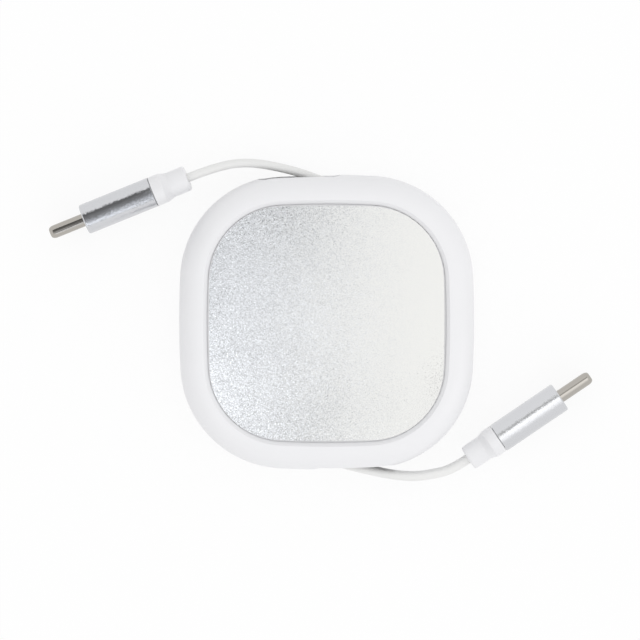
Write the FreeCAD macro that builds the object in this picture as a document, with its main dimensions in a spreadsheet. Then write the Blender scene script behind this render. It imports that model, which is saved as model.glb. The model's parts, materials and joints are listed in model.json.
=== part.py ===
import FreeCAD, Part
import math
import operator
import os
import Sketcher

# Retractable two-way USB-C charging cable, in millimetres. The origin is the middle of the casing's flat
# base, +Z is up through the face plate, and cable a leaves on the +Y side, cable b on the -Y side.

SIZES = {
    # Casing outline: a square with bowed sides and round corners
    "case_half": 27.0,
    "side_bow": 181.0,
    "corner_round": 19.2,
    "case_height": 12.2,
    "seam_height": 6.1,
    "wall": 1.6,
    "floor_thick": 1.5,
    "roof_thick": 1.9,
    "base_edge_round": 4.6,
    "top_edge_round": 4.3,
    "inner_round": 2.2,
    "seam_chamfer": 0.12,
    "tongue_thick": 0.7,
    "tongue_height": 0.8,
    "tongue_clearance": 0.1,
    # Face plate in its recess
    "rim_width": 5.25,
    "rim_lip": 0.7,
    "recess_depth": 1.45,
    "adhesive_thick": 0.15,
    "adhesive_inset": 0.6,
    "plate_gap": 0.03,
    "plate_thick": 1.75,
    "plate_side": 0.75,
    "plate_bevel_angle": 45.0,
    "dome_radius": 340.0,
    # Centre screw and post
    "post_radius": 2.5,
    "screw_radius": 1.0,
    "screw_clearance": 0.03,
    "screw_length": 6.2,
    "screw_head_radius": 2.0,
    "screw_head_height": 1.0,
    "head_clearance": 0.15,
    "cross_width": 0.5,
    "cross_length": 2.2,
    "cross_depth": 0.5,
    # Reel
    "reel_gap": 0.4,
    "roof_gap": 0.35,
    "seat_radius": 4.0,
    "running_clearance": 0.05,
    "flange_gap": 1.8,
    "flange_thick": 1.5,
    "cover_thick": 0.9,
    "drum_radius": 7.35,
    "drum_wall": 1.0,
    "cover_lip_height": 0.6,
    "cover_lip_thick": 0.6,
    # Ratchet ball and its track
    "ball_radius": 1.0,
    "ball_clearance": 0.05,
    "ball_sink": 0.75,
    "track_radius": 14.0,
    "track_half": 1.3,
    "ball_slot_half": 2.4,
    "notch_radius": 1.25,
    "notch_reach": 1.4,
    "notch_count": 3,
    # Mainspring
    "spring_thick": 0.2,
    "spring_turns": 5,
    "spring_inner": 2.75,
    "spring_clearance": 0.15,
    "spring_tab": 1.0,
    # Flat cable, its winding and its outlets
    "cable_thick": 1.6,
    "cable_side_gap": 0.15,
    "layer_gap": 0.1,
    "drum_gap": 0.1,
    "coil_inset": 0.9,
    "coil_end_gap": 0.4,
    "outlet_middle": -5.0,
    "outlet_length": 15.0,
    "outlet_height": 6.4,
    "outlet_rise": 0.95,
    "outlet_round": 1.6,
    # Plugs
    "roll_a": 0.0,
    "roll_b": -5.5,
    "boot_length": 3.4,
    "boot_width": 4.7,
    "boot_height": 7.4,
    "boot_round": 0.8,
    "shoulder_length": 1.4,
    "collar_length": 1.93,
    "collar_width": 5.5,
    "collar_height": 10.9,
    "collar_gap": 0.1,
    "spigot_length": 3.0,
    "spigot_clearance": 0.05,
    "barrel_length": 13.5,
    "barrel_width": 5.6,
    "barrel_height": 11.0,
    "barrel_wall": 0.55,
    "barrel_front": 0.8,
    "barrel_chamfer": 0.2,
    "nose_length": 6.65,
    "nose_width": 2.4,
    "nose_height": 8.25,
    "nose_wall": 0.3,
    "nose_round": 0.5,
    "nose_lip": 0.3,
    "mouth_inset": 0.42,
    "nose_seat": 4.6,
    "nose_clearance": 0.05,
    "insulator_clearance": 0.02,
    "tongue_slot_width": 0.9,
    "tongue_slot_height": 6.7,
    "tongue_slot_depth": 5.4,
    "contact_count": 12,
    "contact_pitch": 0.5,
    "contact_width": 0.26,
    "contact_thick": 0.1,
    "contact_length": 3.8,
    "contact_inset": 1.0,
    "latch_thick": 0.16,
    "latch_arm": 0.28,
    "latch_length": 4.6,
    "latch_clearance": 0.03,
    "board_thick": 0.8,
    "board_height": 8.4,
    "board_gap": 0.1,
    "chip_length": 2.6,
    "chip_height": 3.0,
    "chip_thick": 0.7,
}

# The cable's two routes, from the coil to the end of each plug's boot, at the cable's mid height
ROUTE_A = [
    (11.20, 19.25),
    (5.86, 22.59),
    (0.03, 25.69),
    (-6.78, 28.03),
    (-14.55, 29.43),
    (-20.65, 28.36),
    (-25.45, 26.42),
]
ROUTE_B = [
    (-10.53, -19.66),
    (-5.16, -22.76),
    (0.71, -25.56),
    (7.58, -27.34),
    (15.00, -28.70),
    (20.30, -28.00),
    (23.40, -27.04),
    (26.05, -25.24),
]
ARC_SHARE = 0.45

OPERATIONS = {"+": operator.add, "-": operator.sub, "*": operator.mul, "/": operator.truediv}

doc = FreeCAD.newDocument("retractable_cable")
sheet = doc.addObject("Spreadsheet::Sheet", "sizes")
for row, (name, number) in enumerate(SIZES.items(), 1):
    sheet.set(f"A{row}", name)
    sheet.set(f"B{row}", str(number))
    sheet.setAlias(f"B{row}", name)
doc.recompute()


class Size:
    """A length held both as a number and as the expression that ties it to the sheet."""

    def __init__(self, value, text):
        self.value = value
        self.text = text

    def joined(self, sign, other):
        if not isinstance(other, Size):
            other = Size(other, str(other))
        return Size(OPERATIONS[sign](self.value, other.value), f"({self.text} {sign} {other.text})")

    def __add__(self, other):
        return self.joined("+", other)

    def __sub__(self, other):
        return self.joined("-", other)

    def __mul__(self, other):
        return self.joined("*", other)

    def __truediv__(self, other):
        return self.joined("/", other)

    def __neg__(self):
        return self.joined("*", -1)


def size(name):
    return Size(float(sheet.get(name)), "sizes." + name)


def smaller(first, second):
    return Size(min(first.value, second.value), f"min({first.text}; {second.text})")


ZERO = Size(0.0, "0")
NEAR = 1e-4

# Heights that follow from the casing: the reel and its cable fill what the shells leave free
FLOOR = size("floor_thick")
FLANGE_BOTTOM = FLOOR + size("reel_gap")
FLANGE_TOP = FLANGE_BOTTOM + size("flange_thick")
RECESS_FLOOR = size("case_height") - size("recess_depth")
ROOF = RECESS_FLOOR - size("roof_thick")
COVER_BOTTOM = ROOF - size("roof_gap") - size("cover_thick")
CABLE_SPACE = COVER_BOTTOM - FLANGE_TOP
CABLE_WIDTH = CABLE_SPACE - size("cable_side_gap") * 2
CABLE_MIDDLE = FLANGE_TOP + CABLE_SPACE / 2
SPRING_WIDTH = CABLE_SPACE - size("cover_lip_height") - size("spring_clearance") * 2
PLATE_BOTTOM = RECESS_FLOOR + size("adhesive_thick")
SCREW_SEAT = RECESS_FLOOR - size("screw_head_height") - size("head_clearance")
PLUG_MIDDLE = size("barrel_height") / 2

# Radii of the reel, which holds as many whole turns of cable as there is room for
FLANGE_RADIUS = size("case_half") - size("wall") - size("flange_gap")
DRUM_BORE = size("drum_radius") - size("drum_wall")
REEL_BORE = size("post_radius") + size("running_clearance")
LAYER = size("cable_thick") + size("layer_gap")
FIRST_LAYER = size("drum_radius") + size("drum_gap") + LAYER / 2 + size("cable_thick") / 2
COIL_ROOM = FLANGE_RADIUS - size("coil_inset") - FIRST_LAYER
COIL_HALF_TURNS = 2 * math.floor(COIL_ROOM.value / LAYER.value / 2 + NEAR)
COIL_RADIUS = FIRST_LAYER + LAYER * COIL_HALF_TURNS


# Sketches and features
def plane(body, role):
    return next(item for item in body.Origin.OriginFeatures if item.Role == role)


def new_body(label):
    body = doc.addObject("PartDesign::Body", label)
    body.Label = label
    return body


def sketch_on(body, name, role, offset=ZERO):
    sketch = body.newObject("Sketcher::SketchObject", name)
    sketch.AttachmentSupport = [(plane(body, role), "")]
    sketch.MapMode = "FlatFace"
    sketch.AttachmentOffset = FreeCAD.Placement(FreeCAD.Vector(0, 0, offset.value), FreeCAD.Rotation())
    sketch.setExpression("AttachmentOffset.Base.z", offset.text)
    return sketch


def bind(sketch, length, kind, *where):
    """Adds one dimension to a sketch and ties it to the sheet."""
    index = sketch.addConstraint(Sketcher.Constraint(kind, *where, length.value))
    sketch.setExpression(f"Constraints[{index}]", length.text)


def fix_point(sketch, geometry, point, across, up):
    bind(sketch, across, "DistanceX", -1, 1, geometry, point)
    bind(sketch, up, "DistanceY", -1, 1, geometry, point)


def add_arc(sketch, x, y, radius, start, end):
    circle = Part.Circle(FreeCAD.Vector(x, y, 0), FreeCAD.Vector(0, 0, 1), radius)
    return sketch.addGeometry(Part.ArcOfCircle(circle, start, end), False)


def add_circle(sketch, radius, across=ZERO, up=ZERO):
    centre = FreeCAD.Vector(across.value, up.value, 0)
    index = sketch.addGeometry(Part.Circle(centre, FreeCAD.Vector(0, 0, 1), radius.value), False)
    bind(sketch, radius, "Radius", index)
    fix_point(sketch, index, 3, across, up)


def add_line(sketch, start, end):
    return sketch.addGeometry(Part.LineSegment(FreeCAD.Vector(*start, 0), FreeCAD.Vector(*end, 0)), False)


def add_polygon(sketch, corners):
    """A closed outline of straight edges, each corner given as two Sizes."""
    numbers = [(across.value, up.value) for across, up in corners]
    count = len(corners)
    edges = [add_line(sketch, numbers[i], numbers[(i + 1) % count]) for i in range(count)]
    for i, (across, up) in enumerate(corners):
        sketch.addConstraint(Sketcher.Constraint("Coincident", edges[i - 1], 2, edges[i], 1))
        fix_point(sketch, edges[i], 1, across, up)


def add_rectangle(sketch, low_x, low_y, high_x, high_y):
    add_polygon(sketch, [(low_x, low_y), (high_x, low_y), (high_x, high_y), (low_x, high_y)])


def add_case_outline(sketch, inset):
    """The casing's outline moved inwards by inset: four bowed sides and four round corners, all tangent."""
    bow = size("side_bow") - inset
    corner = size("corner_round") - inset
    shift = size("side_bow") - size("case_half")
    reach = size("side_bow").value - size("corner_round").value
    middle = (math.sqrt(2 * reach**2 - shift.value**2) - shift.value) / 2
    lean = math.atan2(middle, middle + shift.value)
    arcs = []
    for quarter in range(4):
        turn = quarter * math.pi / 2
        side_x = -shift.value * math.cos(turn)
        side_y = -shift.value * math.sin(turn)
        arcs.append(add_arc(sketch, side_x, side_y, bow.value, turn - lean, turn + lean))
        diagonal = turn + math.pi / 4
        corner_x = middle * math.sqrt(2) * math.cos(diagonal)
        corner_y = middle * math.sqrt(2) * math.sin(diagonal)
        arcs.append(add_arc(sketch, corner_x, corner_y, corner.value, turn + lean, turn + math.pi / 2 - lean))
    for i, arc in enumerate(arcs):
        sketch.addConstraint(Sketcher.Constraint("Tangent", arcs[i - 1], 2, arc, 1))
    for quarter, (across, up) in enumerate([(-1, 0), (0, -1), (1, 0), (0, 1)]):
        bind(sketch, bow, "Radius", arcs[2 * quarter])
        fix_point(sketch, arcs[2 * quarter], 3, shift * across, shift * up)
        bind(sketch, corner, "Radius", arcs[2 * quarter + 1])


def add_stadium(sketch, width, height):
    """An upright slot shape: two straight sides and two half-round ends."""
    radius = width / 2
    middle = (height - width) / 2
    top = add_arc(sketch, 0, middle.value, radius.value, 0, math.pi)
    left = add_line(sketch, (-radius.value, middle.value), (-radius.value, -middle.value))
    bottom = add_arc(sketch, 0, -middle.value, radius.value, math.pi, 2 * math.pi)
    right = add_line(sketch, (radius.value, -middle.value), (radius.value, middle.value))
    for first, second in ((top, left), (left, bottom), (bottom, right), (right, top)):
        sketch.addConstraint(Sketcher.Constraint("Tangent", first, 2, second, 1))
    for arc, up in ((top, middle), (bottom, -middle)):
        bind(sketch, radius, "Radius", arc)
        fix_point(sketch, arc, 3, ZERO, up)


def add_round_rectangle(sketch, across, up, length, height, corner):
    """A rectangle with four quarter-round corners about a middle point."""
    half_x = length / 2 - corner
    half_y = height / 2 - corner
    signs = [(1, 1), (-1, 1), (-1, -1), (1, -1)]
    arcs = []
    for quarter, (right, over) in enumerate(signs):
        x = across.value + right * half_x.value
        y = up.value + over * half_y.value
        arcs.append(add_arc(sketch, x, y, corner.value, quarter * math.pi / 2, (quarter + 1) * math.pi / 2))
    for quarter, (right, over) in enumerate(signs):
        ahead = (quarter + 1) % 4
        x, y = sketch.getPoint(arcs[quarter], 2)[:2]
        line = add_line(sketch, (x, y), tuple(sketch.getPoint(arcs[ahead], 1)[:2]))
        sketch.addConstraint(Sketcher.Constraint("Tangent", arcs[quarter], 2, line, 1))
        sketch.addConstraint(Sketcher.Constraint("Tangent", line, 2, arcs[ahead], 1))
        bind(sketch, corner, "Radius", arcs[quarter])
        fix_point(sketch, arcs[quarter], 3, across + half_x * right, up + half_y * over)


def extrude(body, kind, sketch, length, reverse=False, both=False):
    feature = body.newObject("PartDesign::" + kind, sketch.Name + "_" + kind.lower())
    feature.Profile = sketch
    feature.Reversed = reverse
    feature.Midplane = both
    feature.setExpression("Length", length.text)
    doc.recompute()
    return feature


def volume(body):
    return 0.0 if body.Shape.isNull() else body.Shape.Volume


def pad(body, sketch, length, reverse=False, both=False):
    before = volume(body)
    extrude(body, "Pad", sketch, length, reverse, both)
    if volume(body) <= before:
        raise RuntimeError(f"{sketch.Name} adds nothing")


def pocket(body, sketch, length, reverse=False):
    before = volume(body)
    extrude(body, "Pocket", sketch, length, reverse)
    if volume(body) >= before:
        raise RuntimeError(f"{sketch.Name} cuts nothing")


def dress(body, kind, name, amount, wanted):
    """Rounds or bevels every edge of the body so far that wanted() picks."""
    base = body.Tip
    names = [f"Edge{i}" for i, edge in enumerate(base.Shape.Edges, 1) if wanted(edge)]
    if not names:
        raise RuntimeError(f"{name} finds no edge")
    feature = body.newObject("PartDesign::" + kind, name)
    feature.Base = (base, names)
    feature.setExpression("Radius" if kind == "Fillet" else "Size", amount.text)
    doc.recompute()


def level(height):
    """Picks edges that lie flat at a height."""

    def wanted(edge):
        box = edge.BoundBox
        return abs(box.ZMin - height.value) < NEAR and abs(box.ZMax - height.value) < NEAR

    return wanted


def along(sketch):
    """Picks edges that run along a sketch's own lines."""

    def wanted(edge):
        middle = edge.valueAt((edge.FirstParameter + edge.LastParameter) / 2)
        return sketch.Shape.distToShape(Part.Vertex(middle))[0] < NEAR

    return wanted


def square_on(place):
    """Picks edges that lie in the plane across a plug at a distance from its boot's end."""

    def wanted(edge):
        box = edge.BoundBox
        return abs(box.XMin - place.value) < NEAR and abs(box.XMax - place.value) < NEAR

    return wanted


# Casing
def cut_outlets(body):
    """The two cable outlets, each a rounded opening across the seam."""
    inner_face = FLANGE_RADIUS
    depth = size("case_half") - inner_face + size("wall")
    for name, side, reverse in (("outlet_a", 1, False), ("outlet_b", -1, True)):
        sketch = sketch_on(body, f"{body.Label}_{name}", "XZ_Plane", inner_face * -side)
        add_round_rectangle(
            sketch,
            size("outlet_middle") * side,
            CABLE_MIDDLE + size("outlet_rise"),
            size("outlet_length"),
            size("outlet_height"),
            size("outlet_round"),
        )
        pocket(body, sketch, depth, reverse)


def make_bottom_shell():
    body = new_body("bottom_shell")
    outline = sketch_on(body, "base_outline", "XY_Plane")
    add_case_outline(outline, ZERO)
    pad(body, outline, size("seam_height"))
    dress(body, "Fillet", "base_edge", size("base_edge_round"), level(ZERO))
    dress(body, "Chamfer", "lower_seam_edge", size("seam_chamfer"), level(size("seam_height")))

    hollow = sketch_on(body, "lower_hollow", "XY_Plane", size("seam_height"))
    add_case_outline(hollow, size("wall"))
    pocket(body, hollow, size("seam_height") - FLOOR)
    dress(body, "Fillet", "lower_hollow_edge", size("inner_round"), level(FLOOR))

    tongue = sketch_on(body, "seam_tongue", "XY_Plane", size("seam_height"))
    add_case_outline(tongue, size("wall") - size("tongue_thick"))
    add_case_outline(tongue, size("wall"))
    pad(body, tongue, size("tongue_height"))

    seat = sketch_on(body, "reel_seat", "XY_Plane", FLOOR)
    add_circle(seat, size("seat_radius"))
    pad(body, seat, size("reel_gap") - size("running_clearance"))

    post = sketch_on(body, "post", "XY_Plane", FLOOR)
    add_circle(post, size("post_radius"))
    pad(body, post, ROOF - FLOOR)

    pilot = sketch_on(body, "screw_pilot", "XY_Plane", ROOF)
    add_circle(pilot, size("screw_radius") + size("screw_clearance"))
    pocket(body, pilot, size("screw_length") - SCREW_SEAT + ROOF + size("head_clearance"))

    spring_slot = sketch_on(body, "spring_slot", "XY_Plane", ROOF)
    gap = size("spring_clearance")
    add_rectangle(
        spring_slot,
        size("post_radius") - size("spring_tab") - gap,
        -(size("spring_thick") + gap),
        size("post_radius") + gap,
        gap,
    )
    pocket(body, spring_slot, ROOF - FLANGE_TOP)

    ball_slot = sketch_on(body, "ball_slot", "XY_Plane", FLOOR)
    half = size("ball_radius") + size("ball_clearance")
    add_rectangle(
        ball_slot,
        size("track_radius") - size("ball_slot_half"),
        -half,
        size("track_radius") + size("ball_slot_half"),
        half,
    )
    pocket(body, ball_slot, size("ball_sink") + size("ball_clearance"))

    cut_outlets(body)
    return body


def make_top_shell():
    body = new_body("top_shell")
    outline = sketch_on(body, "top_outline", "XY_Plane", size("seam_height"))
    add_case_outline(outline, ZERO)
    pad(body, outline, size("case_height") - size("seam_height"))
    dress(body, "Fillet", "top_edge", size("top_edge_round"), level(size("case_height")))
    dress(body, "Chamfer", "upper_seam_edge", size("seam_chamfer"), level(size("seam_height")))

    hollow = sketch_on(body, "upper_hollow", "XY_Plane", size("seam_height"))
    add_case_outline(hollow, size("wall"))
    pocket(body, hollow, ROOF - size("seam_height"), reverse=True)
    upright = ROOF - size("seam_height") - size("tongue_clearance")
    dress(body, "Fillet", "upper_hollow_edge", smaller(size("inner_round"), upright), level(ROOF))

    groove = sketch_on(body, "seam_groove", "XY_Plane", size("seam_height"))
    add_case_outline(groove, size("wall") - size("tongue_thick") - size("tongue_clearance"))
    pocket(body, groove, size("tongue_height") + size("tongue_clearance"), reverse=True)

    recess = sketch_on(body, "plate_recess", "XY_Plane", size("case_height"))
    add_case_outline(recess, size("rim_width"))
    pocket(body, recess, size("recess_depth"))
    dress(body, "Chamfer", "rim_lip", size("rim_lip"), along(recess))

    bore = sketch_on(body, "screw_head_bore", "XY_Plane", RECESS_FLOOR)
    add_circle(bore, size("screw_head_radius") + size("head_clearance"))
    pocket(body, bore, RECESS_FLOOR - SCREW_SEAT)
    hole = sketch_on(body, "screw_hole", "XY_Plane", SCREW_SEAT)
    add_circle(hole, size("screw_radius") + size("head_clearance"))
    pocket(body, hole, SCREW_SEAT - ROOF)

    cut_outlets(body)
    return body


def make_face_plate():
    body = new_body("face_plate")
    outline = sketch_on(body, "plate_outline", "XY_Plane", PLATE_BOTTOM)
    add_case_outline(outline, size("rim_width") + size("plate_gap"))
    pad(body, outline, size("plate_side"))
    bevelled = sketch_on(body, "plate_bevel", "XY_Plane", PLATE_BOTTOM + size("plate_side"))
    add_case_outline(bevelled, size("rim_width") + size("plate_gap"))
    pad(body, bevelled, size("plate_thick") - size("plate_side"))
    body.Tip.setExpression("TaperAngle", (-size("plate_bevel_angle")).text)
    doc.recompute()

    # The dome is turned: what stands above a large sphere is taken off
    crown = PLATE_BOTTOM + size("plate_thick")
    reach = size("case_half") + size("wall")
    centre = crown - size("dome_radius")
    lean = math.asin(reach.value / size("dome_radius").value)
    shoulder = centre.value + size("dome_radius").value * math.cos(lean)
    profile = sketch_on(body, "dome_profile", "XZ_Plane")
    dome = add_arc(profile, 0, centre.value, size("dome_radius").value, math.pi / 2 - lean, math.pi / 2)
    roof = crown + size("plate_thick")
    axis_edge = add_line(profile, (0, crown.value), (0, roof.value))
    top_edge = add_line(profile, (0, roof.value), (reach.value, roof.value))
    far_edge = add_line(profile, (reach.value, roof.value), (reach.value, shoulder))
    for first, second in ((dome, axis_edge), (axis_edge, top_edge), (top_edge, far_edge), (far_edge, dome)):
        profile.addConstraint(Sketcher.Constraint("Coincident", first, 2, second, 1))
    bind(profile, size("dome_radius"), "Radius", dome)
    fix_point(profile, dome, 3, ZERO, centre)
    bind(profile, ZERO, "DistanceX", -1, 1, axis_edge, 1)
    fix_point(profile, top_edge, 1, ZERO, roof)
    fix_point(profile, far_edge, 1, reach, roof)
    profile.addConstraint(Sketcher.Constraint("Vertical", far_edge))
    before = volume(body)
    groove = body.newObject("PartDesign::Groove", "dome")
    groove.Profile = profile
    groove.ReferenceAxis = (profile, ["V_Axis"])
    groove.Angle = 360.0
    doc.recompute()
    if volume(body) >= before:
        raise RuntimeError("the dome cuts nothing")
    return body


def make_plate_adhesive():
    body = new_body("plate_adhesive")
    outline = sketch_on(body, "adhesive_outline", "XY_Plane", RECESS_FLOOR)
    add_case_outline(outline, size("rim_width") + size("plate_gap") + size("adhesive_inset"))
    pad(body, outline, size("adhesive_thick"))
    return body


def make_centre_screw():
    body = new_body("centre_screw")
    head = sketch_on(body, "screw_head", "XY_Plane", SCREW_SEAT)
    add_circle(head, size("screw_head_radius"))
    pad(body, head, size("screw_head_height"))
    shank = sketch_on(body, "screw_shank", "XY_Plane", SCREW_SEAT)
    add_circle(shank, size("screw_radius"))
    pad(body, shank, size("screw_length"), reverse=True)
    top = SCREW_SEAT + size("screw_head_height")
    long = size("cross_length") / 2
    short = size("cross_width") / 2
    for name, across, up in (("cross_one", long, short), ("cross_two", short, long)):
        slot = sketch_on(body, name, "XY_Plane", top)
        add_rectangle(slot, -across, -up, across, up)
        pocket(body, slot, size("cross_depth"))
    return body


def make_ratchet_ball():
    ball = doc.addObject("Part::Sphere", "ratchet_ball")
    ball.Label = "ratchet_ball"
    ball.setExpression("Radius", size("ball_radius").text)
    ball.setExpression(".Placement.Base.x", size("track_radius").text)
    ball.setExpression(".Placement.Base.z", (FLOOR - size("ball_sink") + size("ball_radius")).text)
    return ball


# Reel
def make_reel_drum():
    body = new_body("reel_drum")
    flange = sketch_on(body, "lower_flange", "XY_Plane", FLANGE_BOTTOM)
    add_circle(flange, FLANGE_RADIUS)
    add_circle(flange, REEL_BORE)
    pad(body, flange, size("flange_thick"))
    drum = sketch_on(body, "drum_ring", "XY_Plane", FLANGE_TOP)
    add_circle(drum, size("drum_radius"))
    add_circle(drum, DRUM_BORE)
    pad(body, drum, CABLE_SPACE)

    # Underneath runs the ball's track, with notches that catch the ball
    track_depth = size("reel_gap") * -1 + size("ball_radius") * 2 - size("ball_sink") + size("ball_clearance")
    track = sketch_on(body, "ball_track", "XY_Plane", FLANGE_BOTTOM)
    add_circle(track, size("track_radius") + size("track_half"))
    add_circle(track, size("track_radius") - size("track_half"))
    pocket(body, track, track_depth, reverse=True)
    notch = sketch_on(body, "track_notch", "XY_Plane", FLANGE_BOTTOM)
    add_circle(notch, size("notch_radius"), size("track_radius") + size("notch_reach"))
    pocket(body, notch, track_depth, reverse=True)
    first_notch = body.Tip
    pattern = body.newObject("PartDesign::PolarPattern", "track_notches")
    pattern.Originals = [first_notch]
    pattern.Axis = (notch, ["N_Axis"])
    pattern.Angle = 360.0
    pattern.setExpression("Occurrences", size("notch_count").text)
    body.Tip = pattern
    doc.recompute()

    # A slot through the drum takes the spring's outer end
    anchor = sketch_on(body, "spring_anchor", "XY_Plane", COVER_BOTTOM)
    gap = size("spring_clearance")
    add_rectangle(
        anchor,
        DRUM_BORE - size("drum_wall"),
        -gap,
        size("drum_radius") + gap,
        size("spring_thick") + gap,
    )
    pocket(body, anchor, CABLE_SPACE)
    return body


def make_reel_cover():
    body = new_body("reel_cover")
    disc = sketch_on(body, "upper_flange", "XY_Plane", COVER_BOTTOM)
    add_circle(disc, FLANGE_RADIUS)
    add_circle(disc, REEL_BORE)
    pad(body, disc, size("cover_thick"))
    lip = sketch_on(body, "cover_lip", "XY_Plane", COVER_BOTTOM)
    lip_radius = DRUM_BORE - size("running_clearance")
    add_circle(lip, lip_radius)
    add_circle(lip, lip_radius - size("cover_lip_thick"))
    pad(body, lip, size("cover_lip_height"), reverse=True)
    return body


def flat_arc(x, radius, start, end):
    """An arc about a point on the X axis, from one angle to a larger one, in radians."""
    circle = Part.Circle(FreeCAD.Vector(x, 0, 0), FreeCAD.Vector(0, 0, 1), radius)
    return Part.ArcOfCircle(circle, start, end).toShape()


def spiral_side(step, first, count, last_angle, offset):
    """One side of a ribbon wound in half turns about two centres, with its radius growing by step."""
    edges = []
    for turn in range(count):
        centre = step / 2 if turn % 2 else -step / 2
        start = math.pi * (turn % 2)
        end = start + (last_angle if turn == count - 1 else math.pi)
        edges.append(flat_arc(centre, first + turn * step + offset, start, end))
    return edges


def edge_end(edges, last):
    edge = edges[-1] if last else edges[0]
    return edge.valueAt(edge.LastParameter if last else edge.FirstParameter)


def straight(*points):
    corners = [FreeCAD.Vector(*point) for point in points]
    return [Part.LineSegment(a, b).toShape() for a, b in zip(corners, corners[1:])]


def solid_of(edges, height):
    wire = Part.Wire(Part.__sortEdges__(edges))
    return Part.Face(wire).extrude(FreeCAD.Vector(0, 0, height))


def raised(height):
    return FreeCAD.Placement(FreeCAD.Vector(0, 0, height), FreeCAD.Rotation())


def add_shape(label, shape, placement=FreeCAD.Placement()):
    feature = doc.addObject("Part::Feature", label)
    feature.Label = label
    feature.Shape = shape
    feature.Placement = placement
    return feature


def make_mainspring():
    """A flat steel strip wound from the slot in the post to the slot in the drum."""
    thick = size("spring_thick").value
    half_turns = 2 * round(size("spring_turns").value)
    outer = DRUM_BORE.value - size("spring_clearance").value - thick / 2
    inner = size("spring_inner").value + thick / 2
    step = (outer - inner) / half_turns
    first = inner + step / 2
    inside = spiral_side(step, first, half_turns, math.pi, -thick / 2)
    outside = spiral_side(step, first, half_turns, math.pi, thick / 2)
    tab = size("post_radius").value - size("spring_tab").value
    start_in = edge_end(inside, False)
    start_out = edge_end(outside, False)
    inner_tab = straight(start_in, (tab, 0, 0), (tab, -thick, 0), (start_out.x, -thick, 0), start_out)
    hook = size("drum_radius").value - size("spring_clearance").value
    end_in = edge_end(inside, True)
    end_out = edge_end(outside, True)
    outer_tab = straight(end_in, (end_in.x, thick, 0), (hook, thick, 0), (hook, 0, 0), end_out)
    edges = inside + outside + inner_tab + outer_tab
    bottom = FLANGE_TOP.value + size("spring_clearance").value
    return add_shape("mainspring", solid_of(edges, SPRING_WIDTH.value), raised(bottom))


def end_turn(route):
    """How far a leg's last half turn runs before the cable leaves the coil along its route."""
    x, y = (abs(number) for number in route[0])
    return math.atan2(y, x + LAYER.value / 2) - size("coil_end_gap").value / COIL_RADIUS.value


def make_wound_cable():
    """The cable on the reel: one ribbon folded at the drum, both legs wound outwards together."""
    step = LAYER.value
    half = size("cable_thick").value / 2
    count = COIL_HALF_TURNS
    legs = ((FIRST_LAYER.value, count + 1, ROUTE_A), (FIRST_LAYER.value + step, count, ROUTE_B))
    edges = []
    starts = []
    for first, half_turns, route in legs:
        inside = spiral_side(step, first, half_turns, end_turn(route), -half)
        outside = spiral_side(step, first, half_turns, end_turn(route), half)
        edges += inside + outside + straight(edge_end(inside, True), edge_end(outside, True))
        starts += [edge_end(inside, False).x, edge_end(outside, False).x]
    for low, high in ((starts[0], starts[3]), (starts[1], starts[2])):
        edges.append(flat_arc((low + high) / 2, (high - low) / 2, math.pi, 2 * math.pi))
    bottom = FLANGE_TOP.value + size("cable_side_gap").value
    return add_shape("wound_cable", solid_of(edges, CABLE_WIDTH.value), raised(bottom))


# Free ends of the cable
def rounded_path(points):
    """Straight runs joined by arcs as large as the runs allow, with the arcs' radii."""
    corners = [FreeCAD.Vector(x, y, CABLE_MIDDLE.value) for x, y in points]
    edges = []
    radii = []
    here = corners[0]
    for before, corner, after in zip(corners, corners[1:], corners[2:]):
        back = before - corner
        ahead = after - corner
        turn = math.pi - back.getAngle(ahead)
        cut = ARC_SHARE * min(back.Length, ahead.Length)
        radii.append(cut / math.tan(turn / 2))
        arc_start = corner + back.normalize() * cut
        arc_end = corner + ahead.normalize() * cut
        inward = (back + ahead).normalize()
        centre = corner + inward * math.hypot(cut, radii[-1])
        middle = centre - inward * radii[-1]
        edges.append(Part.LineSegment(here, arc_start).toShape())
        edges.append(Part.Arc(arc_start, middle, arc_end).toShape())
        here = arc_end
    edges.append(Part.LineSegment(here, corners[-1]).toShape())
    return Part.Wire(edges), radii


def cable_section():
    """The flat cable's cross-section with round edges, across the X axis."""
    half = size("cable_thick").value / 2
    middle = CABLE_WIDTH.value / 2 - half
    points = [(0, half, -middle), (0, half, middle), (0, -half, middle), (0, -half, -middle)]
    corners = [FreeCAD.Vector(*point) for point in points]
    top = Part.Arc(corners[1], FreeCAD.Vector(0, 0, middle + half), corners[2])
    bottom = Part.Arc(corners[3], FreeCAD.Vector(0, 0, -middle - half), corners[0])
    sides = [Part.LineSegment(corners[0], corners[1]), Part.LineSegment(corners[2], corners[3])]
    return Part.Wire([edge.toShape() for edge in (sides[0], top, sides[1], bottom)])


def make_tail(label, route):
    path, radii = rounded_path(route)
    section = cable_section()
    area = Part.Face(section).Area
    start = FreeCAD.Vector(*route[0], CABLE_MIDDLE.value)
    heading = math.degrees(math.atan2(route[1][1] - route[0][1], route[1][0] - route[0][0]))
    section.Placement = FreeCAD.Placement(start, FreeCAD.Rotation(FreeCAD.Vector(0, 0, 1), heading))
    tail = path.makePipeShell([section], True, False)
    print(label, "radii", [round(radius, 1) for radius in radii], "length", round(path.Length, 2))
    print(label, "volume", round(tail.Volume, 3), "section by length", round(area * path.Length, 3))
    return add_shape(label, tail)


# Plugs, each drawn along X from the end of its boot to its nose
COLLAR_FROM = size("boot_length") + size("shoulder_length")
BARREL_FROM = COLLAR_FROM + size("collar_length") + size("collar_gap")
BARREL_TO = BARREL_FROM + size("barrel_length")
NOSE_FROM = BARREL_TO - size("nose_seat")
NOSE_TO = BARREL_TO + size("nose_length")
MOUTH = NOSE_TO - size("nose_lip") - size("insulator_clearance")
SLOT_END = MOUTH - size("tongue_slot_depth")
SPIGOT_TO = BARREL_FROM + size("spigot_length")


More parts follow.
